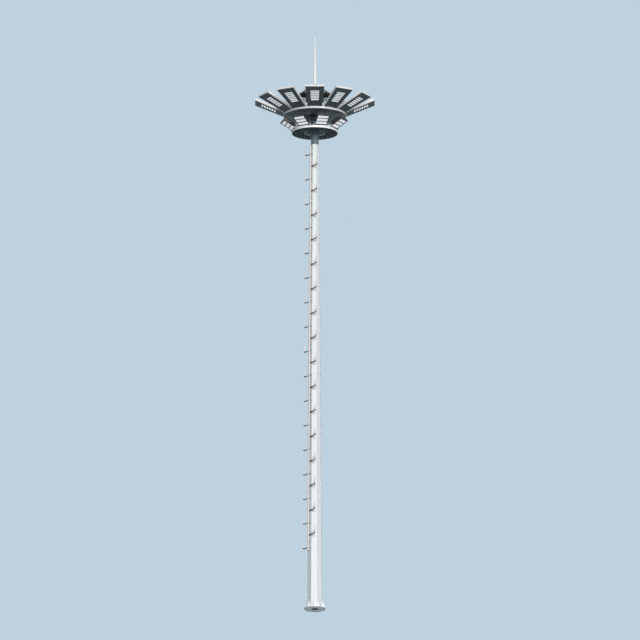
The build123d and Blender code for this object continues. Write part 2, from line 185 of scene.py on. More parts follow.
def new_group(name, inputs):
    """An empty node group that gives a colour, a roughness and a height, and its two end nodes."""
    group = bpy.data.node_groups.new(name, "ShaderNodeTree")
    for label, value in inputs.items():
        kind = "NodeSocketColor" if isinstance(value, tuple) else "NodeSocketFloat"
        socket = group.interface.new_socket(name=label, in_out="INPUT", socket_type=kind)
        socket.default_value = value
    group.interface.new_socket(name="Colour", in_out="OUTPUT", socket_type="NodeSocketColor")
    for label in ("Roughness", "Height"):
        group.interface.new_socket(name=label, in_out="OUTPUT", socket_type="NodeSocketFloat")
    return group, group.nodes.new("NodeGroupInput"), group.nodes.new("NodeGroupOutput")


def mixed(tree, share, first, second, blend="MIX"):
    """A colour Mix node fed by sockets or colours; gives its output."""
    node = tree.nodes.new("ShaderNodeMix")
    node.data_type = "RGBA"
    node.blend_type = blend
    for socket, value in ((0, share), (6, first), (7, second)):
        if isinstance(value, (int, float, tuple)):
            node.inputs[socket].default_value = value
        else:
            tree.links.new(value, node.inputs[socket])
    return node.outputs[2]


def noise(tree, place, scale, detail=3.0, rough=0.55):
    """A Noise Texture at a scale given as a number or a socket; gives its grey output."""
    node = tree.nodes.new("ShaderNodeTexNoise")
    node.inputs["Detail"].default_value = detail
    node.inputs["Roughness"].default_value = rough
    tree.links.new(place, node.inputs["Vector"])
    if isinstance(scale, (int, float)):
        node.inputs["Scale"].default_value = scale
    else:
        tree.links.new(scale, node.inputs["Scale"])
    return node.outputs["Fac"]


def make_paint_group():
    """Sprayed or powder paint: faint cloudiness, rain streaks, settled dust and orange peel, with
    painted shade in another colour on the faces that look down.
    """
    group, given, made = new_group("outdoor_paint", {
        "Colour": (0.8, 0.8, 0.8, 1),
        "Under Colour": (0.8, 0.8, 0.8, 1),
        "Dust Colour": (0.50, 0.47, 0.42, 1),
        "Cloudiness": 0.05,
        "Streaks": 0.06,
        "Dust": 0.12,
        "Roughness": 0.38,
        "Peel Scale": 260.0,
        "Under Edge": -0.62,
    })
    where = group.nodes.new("ShaderNodeTexCoord")
    place = where.outputs["Object"]
    facing = group.nodes.new("ShaderNodeSeparateXYZ")
    group.links.new(where.outputs["Normal"], facing.inputs[0])
    upwards = facing.outputs[2]
    # Faces that look down take the under colour: painted shade on the undersides.
    painted_shade_under = maths(group, "SUBTRACT", given.outputs["Under Edge"], upwards)
    painted_shade_under = maths(group, "MULTIPLY", painted_shade_under, 20.0, clamp=True)
    body = mixed(group, painted_shade_under, given.outputs["Colour"], given.outputs["Under Colour"])
    cloud = maths(group, "SUBTRACT", noise(group, place, 2.3, 4.0), 0.5)
    cloud = maths(group, "MULTIPLY_ADD", cloud, given.outputs["Cloudiness"], 1.0)
    upright = group.nodes.new("ShaderNodeMapping")
    upright.inputs["Scale"].default_value = (9.0, 9.0, 0.35)
    group.links.new(place, upright.inputs["Vector"])
    streak = noise(group, upright.outputs[0], 3.0, 5.0, 0.6)
    streak = maths(group, "MULTIPLY", maths(group, "SUBTRACT", streak, 0.52), 5.0, clamp=True)
    streak = maths(group, "MULTIPLY", streak, given.outputs["Streaks"])
    brightness = maths(group, "SUBTRACT", cloud, streak)
    grey = group.nodes.new("ShaderNodeCombineColor")
    for channel in range(3):
        group.links.new(brightness, grey.inputs[channel])
    painted = mixed(group, 1.0, body, grey.outputs[0], "MULTIPLY")
    level = maths(group, "MULTIPLY", maths(group, "SUBTRACT", upwards, 0.2), 1.25, clamp=True)
    settled = maths(group, "MULTIPLY", level, noise(group, place, 14.0, 5.0, 0.65))
    settled = maths(group, "MULTIPLY", settled, given.outputs["Dust"], clamp=True)
    dusty = mixed(group, settled, painted, given.outputs["Dust Colour"])
    group.links.new(dusty, made.inputs["Colour"])
    patchy = maths(group, "MULTIPLY_ADD", noise(group, place, 7.0, 4.0), 0.16, -0.08)
    rough = maths(group, "ADD", given.outputs["Roughness"], patchy)
    rough = maths(group, "MULTIPLY_ADD", settled, 0.5, rough, clamp=True)
    group.links.new(rough, made.inputs["Roughness"])
    group.links.new(noise(group, place, given.outputs["Peel Scale"], 2.0), made.inputs["Height"])
    return group


paint_group = make_paint_group()


def finish_material(name, group, settings, bump=0.15, bump_depth=0.0004, **shader_values):
    """A Principled material fed by a finish group, with the group's height as its bump."""
    material = bpy.data.materials.new(name)
    material.use_nodes = True
    tree = material.node_tree
    shader = tree.nodes["Principled BSDF"]
    finish = tree.nodes.new("ShaderNodeGroup")
    finish.node_tree = group
    for label, value in settings.items():
        finish.inputs[label].default_value = (*value, 1) if isinstance(value, tuple) else value
    tree.links.new(finish.outputs["Colour"], shader.inputs["Base Color"])
    tree.links.new(finish.outputs["Roughness"], shader.inputs["Roughness"])
    relief = tree.nodes.new("ShaderNodeBump")
    relief.inputs["Strength"].default_value = bump
    relief.inputs["Distance"].default_value = bump_depth
    tree.links.new(finish.outputs["Height"], relief.inputs["Height"])
    tree.links.new(relief.outputs[0], shader.inputs["Normal"])
    for label, value in shader_values.items():
        shader.inputs[label.replace("_", " ")].default_value = value
    return material


def painted(name, colour, painted_shade_under=None, cloudiness=0.05, streaks=0.0, dust=0.2, roughness=0.4,
            under_edge=-0.62, **more):
    """Paint of one colour, or with painted shade, another colour, on the faces that look down."""
    settings = {
        "Colour": colour,
        "Under Colour": painted_shade_under or colour,
        "Under Edge": under_edge,
        "Cloudiness": cloudiness,
        "Streaks": streaks,
        "Dust": dust,
        "Roughness": roughness,
    }
    return finish_material(name, paint_group, settings, **more)


def dress(node, material, edge=0.0, segments=2):
    """Gives a CAD node its material, and rounds its edges by a bevel where edge is over 0."""
    thing = nodes[node]
    thing.data.materials.clear()
    thing.data.materials.append(material)
    if edge:
        weld = thing.modifiers.new("weld", "WELD")
        weld.merge_threshold = 0.00002
        bevel = thing.modifiers.new("edges", "BEVEL")
        bevel.width = edge
        bevel.segments = segments
        bevel.limit_method = "ANGLE"
        bevel.angle_limit = math.radians(28)


def place_at(azimuth, radius, height, slope):
    """Frame round the mast: X across, Y outwards and up a slope, Z out of the lower face."""
    rise = math.radians(slope)
    level, upright = math.cos(rise), math.sin(rise)
    front = Matrix((
        (1, 0, 0, 0),
        (0, -level, -upright, -radius),
        (0, upright, -level, height),
        (0, 0, 0, 1),
    ))
    return Matrix.Rotation(math.radians(azimuth), 4, "Z") @ front


def on_facet(azimuth, stand_out, height):
    """Frame on a facet of the shaft at a height: X across it, Y up it and Z outwards."""
    lean = math.radians(shaft_lean)
    up = Matrix.Translation((0, height / math.cos(lean), 0))
    return place_at(azimuth, shaft_foot_flat + stand_out, 0, 90 + shaft_lean) @ up


def put(name, shape, material, body, corner=35):
    """Turns a finished mesh into a piece that rides a body, smooth below a corner angle."""
    bmesh.ops.recalc_face_normals(shape, faces=shape.faces)
    mesh = bpy.data.meshes.new(name)
    shape.to_mesh(mesh)
    shape.free()
    mesh.materials.append(material)
    mesh.shade_smooth()
    mesh.set_sharp_from_angle(angle=math.radians(corner))
    piece = bpy.data.objects.new(name, mesh)
    bpy.context.scene.collection.objects.link(piece)
    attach(piece, body)
    return piece


def join_rows(shape, rows, around=True):
    """Joins rows of vertices by faces, all round or with one side open, and closes both ends."""
    count = len(rows[0])
    for lower, upper in zip(rows, rows[1:]):
        for k in range(count if around else count - 1):
            after = (k + 1) % count
            shape.faces.new((lower[k], lower[after], upper[after], upper[k]))
    shape.faces.new(rows[0][::-1])
    shape.faces.new(rows[-1])


def add_weld(shape, path, width, height, ripple):
    """Adds a low, rippled weld bead along a path of (point, across, outwards) stations."""
    rows = []
    for number, (point, across, outwards) in enumerate(path):
        lift = height * (1 + 0.18 * math.sin(number * ripple))
        rows.append([
            shape.verts.new(point + across * (width * side) + outwards * (lift * rise))
            for side, rise in ((-0.5, -0.3), (-0.33, 0.7), (0, 1), (0.33, 0.7), (0.5, -0.3))
        ])
    join_rows(shape, rows, around=False)


mast_paint = painted("mast_white_paint", mast_white, streaks=0.04, roughness=0.58, Metallic=0.20)
for section in ("shaft_lower", "shaft_upper"):
    dress(section, mast_paint, edge=0.004, segments=3)

seam = bmesh.new()
for stand_out, bottom, top in seam_runs:
    stations = []
    steps = int((top - bottom) / bead_step)
    for step in range(steps + 1):
        spot = on_facet(seam_azimuth, stand_out, bottom + (top - bottom) * step / steps)
        stations.append((spot.translation, spot.col[0].xyz, spot.col[2].xyz))
    add_weld(seam, stations, bead_width, bead_height, ripple=2.4)
put("shaft_seam_welds", seam, mast_paint, "tower", corner=60)


# ---- Base flange and gussets -------------------------------------------------------------------
# A thick ring of plate welded round the mast's foot, with a gusset on each facet. Fillet welds
# run round the foot between the gussets and up both sides of each gusset.
first_facet_azimuth = 38.0
flange_top = 0.028
gusset_reach = 0.320
gusset_top = 0.228
gusset_half = 0.006
foot_leg, gusset_leg = 0.008, 0.006

for name in ("base_flange", "base_gussets"):
    dress(name, mast_paint, edge=0.0015)


def fillet(shape, start, end, first_face, second_face, leg):
    """Adds a straight fillet weld along an inner corner, given the faces' outward directions."""
    count = max(2, int((end - start).length / 0.012))
    rows = []
    for number in range(count + 1):
        point = start.lerp(end, number / count)
        size = leg * (1 + 0.1 * math.sin(number * 2.1))
        rows.append([
            shape.verts.new(point - (first_face + second_face) * (leg * 0.2)),
            shape.verts.new(point + first_face * size - second_face * (leg * 0.2)),
            shape.verts.new(point + (first_face + second_face) * (size * 0.42)),
            shape.verts.new(point + second_face * size - first_face * (leg * 0.2)),
        ])
    join_rows(shape, rows)


foot_welds = bmesh.new()
up = Vector((0, 0, 1))
half_facet = shaft_foot_flat * math.tan(math.radians(22.5))
for number in range(8):
    turn = Matrix.Rotation(math.radians(first_facet_azimuth + 45 * number), 3, "Z")
    out, across = turn @ Vector((0, -1, 0)), turn @ Vector((1, 0, 0))
    for side in (-1, 1):
        beside = across * side * gusset_half
        corner = out * (shaft_foot_flat - 0.0002) + beside + up * flange_top
        facet_end = corner + across * side * (half_facet - gusset_half)
        nose = out * gusset_reach + beside + up * flange_top
        top = out * (shaft_foot_flat - 0.0020) + beside + up * (gusset_top - 0.01)
        fillet(foot_welds, corner, facet_end, out, up, foot_leg)
        fillet(foot_welds, corner, nose, across * side, up, gusset_leg)
        fillet(foot_welds, corner, top, out, across * side, gusset_leg)
put("foot_welds", foot_welds, mast_paint, "tower", corner=50)


# ---- Service door ------------------------------------------------------------------------------
# A pressed cover plate over the opening to the terminals, on a black rubber gasket. It is held
# by six button-head screws in stainless steel.
door_azimuth = 128.0
door_height = 0.90
door_lower_plate = 0.005
door_half_width, door_half_length = 0.069, 0.194
gasket_margin, gasket_corner = 0.0025, 0.0265
screw_across, screw_along = 0.0615, 0.165

dress("service_door", mast_paint, edge=0.0022, segments=3)


def rounded_rectangle(half_width, half_length, radius, steps=5):
    """Outline of (x, y) points, in order, with rounded corners."""
    outline = []
    for quarter, (x, y) in enumerate(((1, 1), (-1, 1), (-1, -1), (1, -1))):
        for step in range(steps + 1):
            angle = math.radians(90 * quarter + 90 * step / steps)
            outline.append((
                x * (half_width - radius) + radius * math.cos(angle),
                y * (half_length - radius) + radius * math.sin(angle),
            ))
    return outline


def prism(shape, outline, bottom, top, place, chamfer=0.0):
    """Adds a solid over an outline of (x, y) points, narrowed at its top by a chamfer."""
    middle = Vector((sum(x for x, y in outline), sum(y for x, y in outline))) / len(outline)
    size = max((Vector(point) - middle).length for point in outline)
    shrink = 1 - chamfer / size
    layers = [(bottom, 1.0), (top - chamfer, 1.0)] + ([(top, shrink)] if chamfer else [])
    rows = []
    for height, scale in layers:
        rows.append([
            shape.verts.new(place @ Vector((*(middle + (Vector(point) - middle) * scale), height)))
            for point in outline
        ])
    join_rows(shape, rows)


def turned(shape, profile, place, sides=20, scale=1.0):
    """Adds the surface that (radius, height) points, times a scale, make when turned round Z."""
    rings = []
    closed = profile[0] == profile[-1]
    for radius, height in profile[:-1] if closed else profile:
        radius, height = radius * scale, height * scale
        count = sides if radius > 1e-6 else 1
        rings.append([
            shape.verts.new(place @ Vector((
                radius * math.cos(2 * math.pi * k / count),
                radius * math.sin(2 * math.pi * k / count),
                height,
            )))
            for k in range(count)
        ])
    for lower, upper in zip(rings, rings[1:] + rings[:1] if closed else rings[1:]):
        for k in range(sides):
            after = k + 1
            corners = (
                lower[k % len(lower)], lower[after % len(lower)],
                upper[after % len(upper)], upper[k % len(upper)],
            )
            shape.faces.new(list(dict.fromkeys(corners)))


def button_screw(shape, place, radius):
    """Adds a domed screw head with a socket in it, sitting on the XY plane of its place."""
    dome = ((1, -0.1), (1, 0.12), (0.86, 0.42), (0.5, 0.6))
    socket = ((0.5, 0.6), (0.42, 0.58), (0.40, 0.2), (0, 0.15))
    for profile in (dome, socket):
        turned(shape, profile, place, sides=18, scale=radius)


def make_metal_group():
    """Bare or zinc-coated metal: crystals, faint stains and a fine grain."""
    group, given, made = new_group("bare_metal", {
        "Colour": (0.6, 0.6, 0.6, 1),
        "Dark Colour": (0.4, 0.42, 0.44, 1),
        "Crystal Scale": 60.0,
        "Stains": 0.2,
        "Roughness": 0.4,
    })
    where = group.nodes.new("ShaderNodeTexCoord")
    place = where.outputs["Object"]
    crystals = group.nodes.new("ShaderNodeTexVoronoi")
    group.links.new(place, crystals.inputs["Vector"])
    group.links.new(given.outputs["Crystal Scale"], crystals.inputs["Scale"])
    split = group.nodes.new("ShaderNodeSeparateColor")
    group.links.new(crystals.outputs["Color"], split.inputs[0])
    stain = maths(group, "SUBTRACT", noise(group, place, 6.0, 6.0, 0.65), 0.42)
    stain = maths(group, "MULTIPLY", stain, 3.0, clamp=True)
    stain = maths(group, "MULTIPLY", stain, given.outputs["Stains"])
    share = maths(group, "MULTIPLY_ADD", split.outputs[0], 0.45, stain, clamp=True)
    colour = mixed(group, share, given.outputs["Colour"], given.outputs["Dark Colour"])
    group.links.new(colour, made.inputs["Colour"])
    rough = maths(group, "MULTIPLY_ADD", split.outputs[1], 0.12, given.outputs["Roughness"])
    rough = maths(group, "MULTIPLY_ADD", stain, 0.3, rough, clamp=True)
    group.links.new(rough, made.inputs["Roughness"])
    group.links.new(noise(group, place, 700.0, 2.0), made.inputs["Height"])
    return group


metal_group = make_metal_group()
stainless = finish_material(
    "stainless_screws",
    metal_group,
    {"Colour": (0.62, 0.62, 0.60), "Dark Colour": (0.50, 0.50, 0.49), "Crystal Scale": 400.0,
     "Stains": 0.3, "Roughness": 0.28},
    bump=0.05, Metallic=1.0,
)
rubber = painted("black_rubber", (0.016, 0.016, 0.017), cloudiness=0.2, dust=0.5, roughness=0.72)

door_place = on_facet(door_azimuth, 0.0, door_height)
gasket_outline = rounded_rectangle(
    door_half_width + gasket_margin, door_half_length + gasket_margin, gasket_corner,
)
gasket = bmesh.new()
prism(gasket, gasket_outline, -0.0006, 0.0021, door_place)
put("door_gasket", gasket, rubber, "tower")
screws = bmesh.new()
for x in (-screw_across, screw_across):
    for y in (-screw_along, 0, screw_along):
        spot = Matrix.Translation((x, y, door_lower_plate))
        button_screw(screws, door_place @ spot, radius=0.0062)
put("door_screws", screws, stainless, "tower")


# ---- Climbing rail -----------------------------------------------------------------------------
# A square tube on short blocks, in warm white paint. A dome-head bolt and a washer hold it to
# each block, and black plastic caps close its ends.
rail_azimuth = -52.0
rail_half = 0.019
rail_back = upper_stand_out + 0.032
rail_bottom, rail_top = 1.860, 15.050
first_block, block_step, blocks = 2.175, 1.600, 9

# The warm white rail paint turns a darker brown on faces that look down: painted shade. The pegs'
# upturned ends wear it too.
rail_paint_with_painted_shade = painted(
    "rail_warm_white_paint_with_painted_shade", (0.80, 0.735, 0.70), painted_shade_under=(0.33, 0.27, 0.24),
    cloudiness=0.08, streaks=0.08, dust=0.3, roughness=0.42,
)
dress("ladder_rail", rail_paint_with_painted_shade, edge=0.004, segments=3)
# The brackets' mid grey is painted shade, matching the shaded gap between the rail and the mast.
dress("ladder_brackets", painted("bracket_grey_painted_shade", (0.36, 0.38, 0.39)), edge=0.0015)


def washer(shape, place, radius, thickness):
    """Adds a flat washer with an eased rim on the XY plane of its place."""
    hole = radius * 0.4
    turned(shape, (
        (hole, 0), (radius, 0), (radius, thickness * 0.7), (radius * 0.96, thickness),
        (hole, thickness),
    ), place, sides=24)


def dome_bolt(shape, place, radius):
    """Adds a washer and a domed bolt head on the XY plane of its place."""
    washer(shape, place, radius * 1.5, radius * 0.22)
    dome = ((1, 0.15), (0.96, 0.4), (0.8, 0.62), (0.5, 0.8), (0, 0.88))
    turned(shape, dome, place, sides=20, scale=radius)


zinc = finish_material(
    "blue_zinc_bolts",
    metal_group,
    {"Colour": (0.45, 0.49, 0.60), "Dark Colour": (0.26, 0.29, 0.38), "Crystal Scale": 300.0,
     "Stains": 0.4, "Roughness": 0.30},
    bump=0.05, Metallic=0.85,
)
rail_bolts = bmesh.new()
for number in range(blocks):
    height = first_block + number * block_step
    dome_bolt(rail_bolts, on_facet(rail_azimuth, rail_back + 2 * rail_half, height), radius=0.009)
put("rail_bolts", rail_bolts, stainless, "tower")

caps = bmesh.new()
cap_outline = rounded_rectangle(rail_half - 0.0005, rail_half - 0.0005, 0.004, 3)
for height, side in ((rail_bottom, -1), (rail_top, 1)):
    middle = on_facet(rail_azimuth, rail_back + rail_half, height)
    end = middle @ Matrix.Rotation(math.radians(-90 * side), 4, "X")
    prism(caps, cap_outline, -0.012, 0.004, end, chamfer=0.0012)
put("rail_end_caps", caps, rubber, "tower")


# ---- Climbing pegs -----------------------------------------------------------------------------
# Round bars bent up at their ends, so that a foot can't slip off, and welded across the rail's
# back, alternately to the left and the right. Boots and weather have worn the paint off the level
# bars, down to brown steel, and it is left on the upturned ends.
peg_bar_radius = 0.0152
peg_reach, peg_upturn, peg_bend = 0.270, 0.205, 0.035
peg_axis = rail_back - 0.0139
peg_bead_offset, peg_bead_depth = 0.0115, 0.0118
peg_pitch = 0.800
first_left, first_right = 1.975, 2.375
left_pegs, right_pegs = 17, 16


def swept(shape, points, radii, sides=12):
    """Adds a round bar along points that lie in one plane, with closed ends."""
    angles = [2 * math.pi * k / sides for k in range(sides)]
    circle = [Vector((math.cos(angle), math.sin(angle), 0)) for angle in angles]
    rows = []
    for number, (point, radius) in enumerate(zip(points, radii)):
        before, after = points[max(number - 1, 0)], points[min(number + 1, len(points) - 1)]
        turn = (after - before).to_track_quat("Z", "Y").to_matrix()
        rows.append([shape.verts.new(point + turn @ (corner * radius)) for corner in circle])
    join_rows(shape, rows)


peg_end = rail_half + peg_reach
bend_start = peg_end - peg_bend
peg_line = [(x, 0.0, peg_bar_radius) for x in (-rail_half, rail_half, 0.10, 0.18, bend_start)]
for step in range(1, 9):
    angle = math.radians(90 * step / 8)
    peg_line.append((
        bend_start + peg_bend * math.sin(angle), peg_bend * (1 - math.cos(angle)), peg_bar_radius
    ))
for below_end, share in ((0.006, 1.0), (0.0025, 0.86), (0.0, 0.45)):
    peg_line.append((peg_end, peg_upturn - below_end, peg_bar_radius * share))

pegs = bmesh.new()
for side, first, count in ((-1, first_left, left_pegs), (1, first_right, right_pegs)):
    for number in range(count):
        spot = on_facet(rail_azimuth, peg_axis, first + number * peg_pitch)
        bar = [spot @ Vector((side * x, y, 0)) for x, y, radius in peg_line]
        swept(pegs, bar, [radius for x, y, radius in peg_line])
        for above in (-peg_bead_offset, peg_bead_offset):
            bead = [spot @ Vector((x, above, peg_bead_depth)) for x in (-rail_half, 0, rail_half)]
            swept(pegs, bead, (0.0026, 0.0032, 0.0026), 8)
# Every face of the bars but the tops takes a still darker brown: painted shade under the bars.
worn_bar_with_painted_shade = painted(
    "peg_bar_worn_paint_with_painted_shade", (0.14, 0.088, 0.060), painted_shade_under=(0.085, 0.054, 0.038), cloudiness=0.12,
    dust=0.3, roughness=0.6, under_edge=0.30, Specular_IOR_Level=0.2,
)
ladder_pegs = put("climbing_pegs", pegs, worn_bar_with_painted_shade, "tower", corner=50)
ladder_pegs.data.materials.append(rail_paint_with_painted_shade)
for face in ladder_pegs.data.polygons:
    above = (face.center.z - first_left) % (peg_pitch / 2)
    face.material_index = int(peg_bend < above < peg_upturn)
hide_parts("ladder_pegs")


# ---- Head tube ---------------------------------------------------------------------------------
# A plain steel tube in grey paint with a spigot inside the mast's end. A seal closes the joint
# and two rows of socket screws through the mast's wall hold the spigot.
tube_grey = (0.145, 0.200, 0.224)
shaft_top = 15.090
tube_radius = 0.122
screw_depths = (0.075, 0.225)

tube_paint = painted("head_grey_paint", tube_grey, streaks=0.05, roughness=0.40)
dress("head_tube", tube_paint, edge=0.002)

joint_seal = bmesh.new()
turned(joint_seal, (
    (tube_radius - 0.006, -0.003), (tube_radius + 0.0005, -0.002), (tube_radius + 0.003, 0.004),
    (tube_radius + 0.0005, 0.009), (tube_radius - 0.006, 0.010),
), Matrix.Translation((0, 0, shaft_top)), sides=64)
put("joint_seal", joint_seal, rubber, "tower")
spigot_screws = bmesh.new()
for number in range(8):
    azimuth = first_facet_azimuth + 45 * number
    if azimuth != rail_azimuth + 360:
        for depth in screw_depths:
            spot = on_facet(azimuth, upper_stand_out, shaft_top - depth)
            dome_bolt(spigot_screws, spot, radius=0.010)
put("spigot_screws", spigot_screws, stainless, "tower")


# ---- Rings -------------------------------------------------------------------------------------
# Two flat boxes of folded sheet, white round the rim. Matt slate bottom sheets are held by
# pan-head screws, cover strips with blind rivets close the joints in the rim, and a thin dark
# sheet round the head tube closes each ring's centre hole. The slate is partly painted light
# and shade: darkened under the lower ring as painted shade, and lightened under the upper ring,
# which lies in the lower ring's shade, as painted light. The hole covers' dark paint is partly
# painted shade too.
ring_white = (0.89, 0.89, 0.885)
# Slate of the bottom sheets: painted light under the upper ring, painted shade under the lower one.
upper_slate_painted_light, upper_shine = (0.165, 0.212, 0.218), 0.50
lower_slate_painted_shade, lower_shine = (0.045, 0.058, 0.061), 0.05
sheet_margin, sheet_thickness = 0.008, 0.002
ring_hole = 0.306
cover_collar, cover_lip = 0.1235, 0.010
strip_width, strip_margin, strip_thickness = 0.040, 0.006, 0.0015
rings = (
    ("lower_ring", 15.460, 0.070, 0.722, lower_slate_painted_shade, lower_shine, 4),
    ("upper_ring", 16.010, 0.062, 0.983, upper_slate_painted_light, upper_shine, 6),
)


def pan_screw(shape, place, radius):
    """Adds a low round screw head, dished in the middle, on the XY plane of its place."""
    head = ((1, -0.1), (0.98, 0.18), (0.8, 0.42), (0.35, 0.5), (0.2, 0.3), (0, 0.25))
    turned(shape, head, place, sides=12, scale=radius)


def curved_strip(shape, azimuth, width, bottom, top, radius, thickness):
    """Adds a thin plate that follows a rim, centred on an azimuth."""
    section = (
        (-0.002, bottom), (thickness, bottom + 0.001), (thickness, top - 0.001), (-0.002, top),
    )
    steps = 4
    rows = []
    for step in range(steps + 1):
        angle = math.radians(azimuth) + (step / steps - 0.5) * width / radius
        out = Vector((math.sin(angle), -math.cos(angle), 0))
        rows.append([
            shape.verts.new(out * (radius + depth) + Vector((0, 0, height)))
            for depth, height in section
        ])
    join_rows(shape, rows)


ring_paint = painted("ring_white_paint", ring_white, streaks=0.03, roughness=0.40)
# The hole covers' dark paint is partly painted shade, the shade inside the ring's hole.
cover_painted_shade = painted(
    "hole_cover_paint", (0.10, 0.12, 0.125), roughness=0.6, Specular_IOR_Level=0.12,
)
strips, rivets, screws = bmesh.new(), bmesh.new(), bmesh.new()
for name, bottom, thickness, radius, slate_and_painted_light, shine, seams in rings:
    dress(name, ring_paint, edge=0.003, segments=3)
    top = bottom + thickness
    sheet = bmesh.new()
    inner, outer = ring_hole + sheet_margin, radius - sheet_margin
    turned(sheet, (
        (inner, 0.001), (inner, -0.0015), (inner + 0.001, -sheet_thickness),
        (outer - 0.001, -sheet_thickness), (outer, -0.0015), (outer, 0.001), (inner, 0.001),
    ), Matrix.Translation((0, 0, bottom)), sides=128)
    slate_and_painted_light_paint = painted(
        name + "_slate_and_painted_light_paint", slate_and_painted_light, cloudiness=0.10, roughness=0.6, Specular_IOR_Level=shine,
    )
    put(name + "_bottom_sheet", sheet, slate_and_painted_light_paint, "tower")
    cover = bmesh.new()
    collar_outside, cover_edge = cover_collar + sheet_thickness, ring_hole - 0.001
    turned(cover, (
        (cover_collar, 0.0), (cover_collar, -cover_lip), (collar_outside, -cover_lip),
        (collar_outside, -sheet_thickness), (cover_edge, -sheet_thickness), (cover_edge, 0.0),
        (cover_collar, 0.0),
    ), Matrix.Translation((0, 0, top - 0.004)), sides=96)
    put(name + "_hole_cover", cover, cover_painted_shade, "tower")
    for number in range(seams):
        azimuth = 22.5 + 360 * number / seams
        curved_strip(strips, azimuth, strip_width, bottom + strip_margin, top - strip_margin,
                     radius, strip_thickness)
        for across in (-0.012, 0.012):
            for share in (0.25, 0.75):
                spot = place_at(azimuth + math.degrees(across / radius), radius + strip_thickness,
                                bottom + thickness * share, 90)
                head = ((0.0035, 0), (0.0032, 0.0008), (0.002, 0.0016), (0, 0.0018))
                turned(rivets, head, spot, sides=10)
    for reach, count in ((radius - 0.022, int(radius * 48)), (ring_hole + 0.022, 16)):
        for number in range(count):
            spot = place_at(360 * number / count, reach, bottom - sheet_thickness, 0)
            pan_screw(screws, spot, radius=0.0055)
put("ring_joint_strips", strips, ring_paint, "tower")
put("ring_rivets", rivets, stainless, "tower")
put("ring_screws", screws, stainless, "tower")


# ---- Ring arms ---------------------------------------------------------------------------------
# Square bars on the head tube, from which the rings hang. A bolt near each arm's end and one
# close to the tube go through the ring, with plate washers above and below.
arm_height = 0.050
arm_sets = (
    ("lower_ring_arms", 4, 38.0, 15.460, 15.530, (0.345, 0.500)),
    ("upper_ring_arms", 6, 15.0, 16.010, 16.072, (0.360, 0.770)),
)


def hex_bolt(shape, place, radius):
    """Adds a washer and a chamfered six-sided head on the XY plane of its place."""
    washer(shape, place, radius * 1.55, radius * 0.25)
    hexagon = [
        (radius * math.cos(math.radians(60 * k)), radius * math.sin(math.radians(60 * k)))
        for k in range(6)
    ]
    prism(shape, hexagon, radius * 0.2, radius, place, chamfer=radius * 0.12)


arm_bolts = bmesh.new()
for name, count, first, below, above, reaches in arm_sets:
    dress(name, tube_paint, edge=0.003, segments=3)
    for number in range(count):
        azimuth = first + 360 * number / count
        for reach in reaches:
            hex_bolt(arm_bolts, place_at(azimuth, reach, above + arm_height, 180), radius=0.010)
            hex_bolt(arm_bolts, place_at(azimuth, reach, below, 0), radius=0.010)
put("ring_arm_bolts", arm_bolts, zinc, "tower")


# ---- Petals ------------------------------------------------------------------------------------
# Seven flat luminaires in folded sheet: white trays with a matt slate bottom panel, screwed on
# all round. A black frame lines the window for the light modules. The slate on the trays'
# downward faces and on the bottom panels is partly painted shade.
petal_azimuths = (-90, -60, -30, 0, 30, 60, 90)
petal_white = (0.80, 0.79, 0.785)
petal_slope = 23.4
ring_rim, ring_top = 0.983, 16.072
petal_length = 0.880 / math.cos(math.radians(petal_slope))
petal_root_half = 0.983 * math.tan(math.radians(15)) - 0.030 / math.cos(math.radians(15))
petal_widening = (0.300 - petal_root_half) / petal_length
lamp_outer, lamp_inner = petal_length - 0.201, petal_length - 0.705
lamp_outer_half, lamp_inner_half = 0.143, 0.125
panel_margin = 0.007

# The slate on the trays' downward faces and on the bottom panels is partly painted shade.
petal_paint = painted(
    "petal_paint", petal_white, painted_shade_under=(0.118, 0.142, 0.149), cloudiness=0.06, streaks=0.03,
    roughness=0.40,
)
panel_paint_with_painted_shade = painted(
    "petal_panel_paint", (0.095, 0.119, 0.126), cloudiness=0.10, dust=0.1, roughness=0.55,
    Specular_IOR_Level=0.15,
)
frame_black = painted(
    "window_black_paint", (0.020, 0.021, 0.023), cloudiness=0.1, dust=0.2, roughness=0.45,
)


def window_outline(grow):
    """Corners of the light modules' area, grown by a margin."""
    lower, upper = lamp_inner - grow, lamp_outer + grow
    near, far = lamp_inner_half + grow, lamp_outer_half + grow
    return [(-near, lower), (near, lower), (far, upper), (-far, upper)]


def panel_outline(start, margin):
    """Corners of a petal's bottom, from a distance up the slope and inside a margin."""
    near = petal_root_half + petal_widening * start - margin
    end = petal_length - margin
    far = petal_root_half + petal_widening * end - margin
    return [(-near, start), (near, start), (far, end), (-far, end)]


def open_plate(shape, outer, inner, bottom, top, place):
    """Adds a flat plate between two outlines with as many corners, open in the middle."""
    rows = []
    for outline, height in ((outer, bottom), (outer, top), (inner, top), (inner, bottom)):
        rows.append([shape.verts.new(place @ Vector((x, y, height))) for x, y in outline])
    for row, following in zip(rows, rows[1:] + rows[:1]):
        for k in range(len(outer)):
            after = (k + 1) % len(outer)
            shape.faces.new((row[k], row[after], following[after], following[k]))


